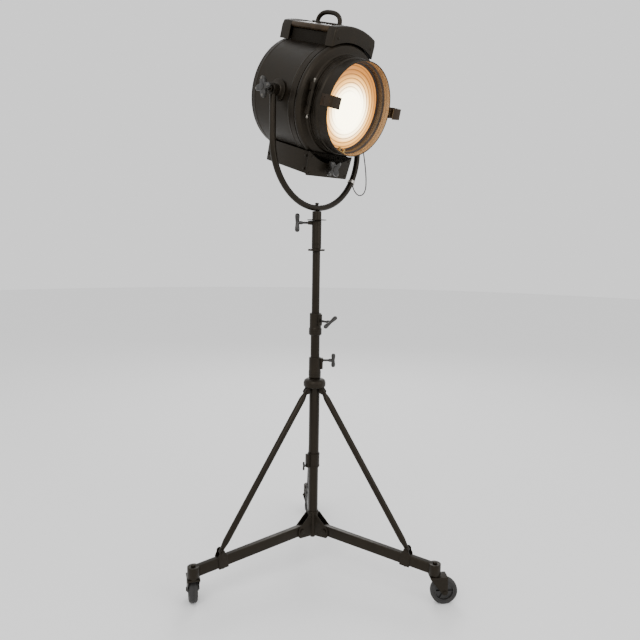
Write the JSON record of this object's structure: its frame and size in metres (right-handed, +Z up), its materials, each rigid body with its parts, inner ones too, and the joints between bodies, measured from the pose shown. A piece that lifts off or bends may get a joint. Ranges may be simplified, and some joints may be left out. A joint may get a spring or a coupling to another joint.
{
  "type": "studio follow spotlight on rolling stand",
  "caption": "Black studio spotlight: vented drum head with a stepped glass lens, held in a round rod yoke on a telescopic rolling stand with folding braced legs and swivel casters.",
  "frame": {"origin": "on the floor, where the axis of the stand's column meets it", "axes": "+Z up the column; the tilt axis lies along X; the beam leaves towards -Y, tipped down by 17 degrees"},
  "size_m": [0.9471, 0.9694, 2.1324],
  "materials": {
    "stand_paint": "satin black paint",
    "head_paint": "satin black paint over cast and rolled light alloy",
    "worn_steel": "bare steel, dulled by handling",
    "knob_plastic": "moulded black",
    "wheel_plastic": "moulded black",
    "tyre": "dull black rubber",
    "cord_sheath": "black sheath over thin rope",
    "lens_glass": "clear, stepped, warm with the lamp's light",
    "lamp_glass": "clear",
    "mirror_metal": "polished"
  },
  "bodies": {
    "stand_base": {"leg_tube": "worn_steel", "leg_hub": "stand_paint"},
    "mast": {"outer_tube": "stand_paint", "base_collar": "stand_paint", "brace_ring": "stand_paint", "lower_clamp": "stand_paint"},
    "riser_middle": {"riser_2": "stand_paint", "upper_clamp": "stand_paint"},
    "riser_top": {"riser_1": "stand_paint", "head_socket": "stand_paint"},
    "yoke_frame": {"yoke": "stand_paint", "yoke_spigot": "stand_paint", "tether_clip": "worn_steel", "tether_cord": "cord_sheath"},
    "head": {"drum_shell": "head_paint", "rear_cover": "head_paint", "inlet_gland": "knob_plastic", "front_ring": "head_paint", "hinge_rod": "worn_steel", "vent_front": "head_paint", "vent_rear": "head_paint", "vent_roof": "head_paint", "carry_handle": "stand_paint", "base_box": "head_paint", "base_front_plate": "head_paint", "trunnion_left": "worn_steel", "trunnion_right": "worn_steel"},
    "door": {"lens_door": "head_paint", "fresnel_lens": "lens_glass", "clip_left": "head_paint", "clip_right": "head_paint", "clip_lower": "worn_steel"},
    "focus_drive": {"focus_knob": "knob_plastic", "focus_screw": "worn_steel"},
    "lamp_slide": {"lamp_carriage": "worn_steel", "lamp_bulb": "lamp_glass", "reflector": "mirror_metal"},
    "tilt_lock": {"tilt_knob": "knob_plastic"},
    "leg_lock": {"leg_lock_handle": "stand_paint"},
    "lower_lock": {"lower_lock_handle": "stand_paint"},
    "upper_lock": {"upper_lock_handle": "stand_paint"},
    "pan_lock": {"pan_lock_handle": "stand_paint"},
    "leg_arm_1": {"leg_1": "stand_paint", "leg_saddle_1": "stand_paint"},
    "caster_swivel_1": {"caster_fork_1": "stand_paint"},
    "caster_roll_1": {"caster_wheel_1": "wheel_plastic", "caster_tyre_1": "tyre"},
    "brace_arm_1": {"brace_1": "stand_paint"},
    "leg_arm_2": {"leg_2": "stand_paint", "leg_saddle_2": "stand_paint"},
    "caster_swivel_2": {"caster_fork_2": "stand_paint"},
    "caster_roll_2": {"caster_wheel_2": "wheel_plastic", "caster_tyre_2": "tyre"},
    "brace_arm_2": {"brace_2": "stand_paint"},
    "leg_arm_3": {"leg_3": "stand_paint", "leg_saddle_3": "stand_paint"},
    "caster_swivel_3": {"caster_fork_3": "stand_paint"},
    "caster_roll_3": {"caster_wheel_3": "wheel_plastic", "caster_tyre_3": "tyre"},
    "brace_arm_3": {"brace_3": "stand_paint"}
  },
  "joints": [
    {"name": "leg_fold", "type": "slide", "parent": "stand_base", "child": "mast", "axis": [0, 0, 1], "range_m": [0, 0.32]},
    {"name": "leg_hinge_1", "type": "hinge", "parent": "stand_base", "child": "leg_arm_1", "pos_m": [-0.0564, 0.01354, 0.18], "axis": [0.2334, 0.9724, 0], "range_deg": [0, 50]},
    {"name": "brace_hinge_1", "type": "hinge", "parent": "mast", "child": "brace_arm_1", "pos_m": [-0.03501, 0.0084, 0.739], "axis": [0.2334, 0.9724, 0], "range_deg": [-12, 0]},
    {"name": "caster_swivel_1_turn", "type": "hinge", "parent": "leg_arm_1", "child": "caster_swivel_1", "pos_m": [-0.49105, 0.11789, 0.13], "axis": [0, 0, 1], "continuous": true},
    {"name": "caster_roll_1_turn", "type": "hinge", "parent": "caster_swivel_1", "child": "caster_roll_1", "pos_m": [-0.47305, 0.14907, 0.05], "axis": [-0.866, 0.5, 0], "continuous": true},
    {"name": "leg_hinge_2", "type": "hinge", "parent": "stand_base", "child": "leg_arm_2", "pos_m": [0.01647, -0.05561, 0.18], "axis": [-0.9588, -0.284, 0], "range_deg": [0, 50]},
    {"name": "brace_hinge_2", "type": "hinge", "parent": "mast", "child": "brace_arm_2", "pos_m": [0.01022, -0.03452, 0.739], "axis": [-0.9588, -0.284, 0], "range_deg": [-12, 0]},
    {"name": "caster_swivel_2_turn", "type": "hinge", "parent": "leg_arm_2", "child": "caster_swivel_2", "pos_m": [0.14343, -0.4842, 0.13], "axis": [0, 0, 1], "continuous": true},
    {"name": "caster_roll_2_turn", "type": "hinge", "parent": "caster_swivel_2", "child": "caster_roll_2", "pos_m": [0.17018, -0.50829, 0.05], "axis": [0.6691, 0.7431, 0], "continuous": true},
    {"name": "leg_hinge_3", "type": "hinge", "parent": "stand_base", "child": "leg_arm_3", "pos_m": [0.03993, 0.04207, 0.18], "axis": [0.7254, -0.6884, 0], "range_deg": [0, 50]},
    {"name": "brace_hinge_3", "type": "hinge", "parent": "mast", "child": "brace_arm_3", "pos_m": [0.02478, 0.02611, 0.739], "axis": [0.7254, -0.6884, 0], "range_deg": [-12, 0]},
    {"name": "caster_swivel_3_turn", "type": "hinge", "parent": "leg_arm_3", "child": "caster_swivel_3", "pos_m": [0.34762, 0.36631, 0.13], "axis": [0, 0, 1], "continuous": true},
    {"name": "caster_roll_3_turn", "type": "hinge", "parent": "caster_swivel_3", "child": "caster_roll_3", "pos_m": [0.3788, 0.38431, 0.05], "axis": [-0.5, 0.866, 0], "continuous": true},
    {"name": "riser_middle_slide", "type": "slide", "parent": "mast", "child": "riser_middle", "axis": [0, 0, 1], "range_m": [-0.08, 0.3]},
    {"name": "riser_top_slide", "type": "slide", "parent": "riser_middle", "child": "riser_top", "axis": [0, 0, 1], "range_m": [-0.23, 0.2]},
    {"name": "pan_turn", "type": "hinge", "parent": "riser_top", "child": "yoke_frame", "pos_m": [0, 0, 1.36], "axis": [0, 0, 1], "continuous": true},
    {"name": "tilt_turn", "type": "hinge", "parent": "yoke_frame", "child": "head", "pos_m": [0, 0, 1.828], "axis": [-1, 0, 0], "range_deg": [-73, 77]},
    {"name": "door_hinge", "type": "hinge", "parent": "head", "child": "door", "pos_m": [-0.173, -0.13197, 1.78765], "axis": [0, 0.2924, -0.9563], "range_deg": [0, 110]},
    {"name": "lamp_focus", "type": "slide", "parent": "head", "child": "lamp_slide", "axis": [0, -0.9563, -0.2924], "range_m": [-0.04, 0.04]},
    {"name": "focus_knob_turn", "type": "hinge", "parent": "head", "child": "focus_drive", "pos_m": [0, -0.0821, 1.57494], "axis": [0, -0.9563, -0.2924], "range_deg": [-722, 722]},
    {"name": "tilt_knob_turn", "type": "hinge", "parent": "head", "child": "tilt_lock", "pos_m": [-0.262, 0, 1.828], "axis": [-1, 0, 0], "range_deg": [0, 180]},
    {"name": "leg_lock_turn", "type": "hinge", "parent": "mast", "child": "leg_lock", "pos_m": [-0.04424, 0.01062, 0.44], "axis": [-0.9724, 0.2334, 0], "range_deg": [0, 180]},
    {"name": "lower_lock_turn", "type": "hinge", "parent": "mast", "child": "lower_lock", "pos_m": [0.04932, -0.05107, 0.857], "axis": [0.6947, -0.7193, 0], "range_deg": [0, 180]},
    {"name": "upper_lock_turn", "type": "hinge", "parent": "riser_middle", "child": "upper_lock", "pos_m": [0.00265, -0.07595, 1.012], "axis": [0.0349, -0.9994, 0], "range_deg": [0, 180]},
    {"name": "pan_lock_turn", "type": "hinge", "parent": "riser_top", "child": "pan_lock", "pos_m": [-0.05071, 0.05251, 1.381], "axis": [-0.6947, 0.7193, 0], "range_deg": [0, 180]}
  ],
  "couplings": [
    {"joint": "leg_hinge_1", "follows": "leg_fold", "rad_per_m": 2.7042},
    {"joint": "brace_hinge_1", "follows": "leg_fold", "rad_per_m": -0.6477},
    {"joint": "leg_hinge_2", "follows": "leg_fold", "rad_per_m": 2.7042},
    {"joint": "brace_hinge_2", "follows": "leg_fold", "rad_per_m": -0.6477},
    {"joint": "leg_hinge_3", "follows": "leg_fold", "rad_per_m": 2.7042},
    {"joint": "brace_hinge_3", "follows": "leg_fold", "rad_per_m": -0.6477},
    {"joint": "focus_knob_turn", "follows": "lamp_focus", "rad_per_m": 314.16}
  ]
}
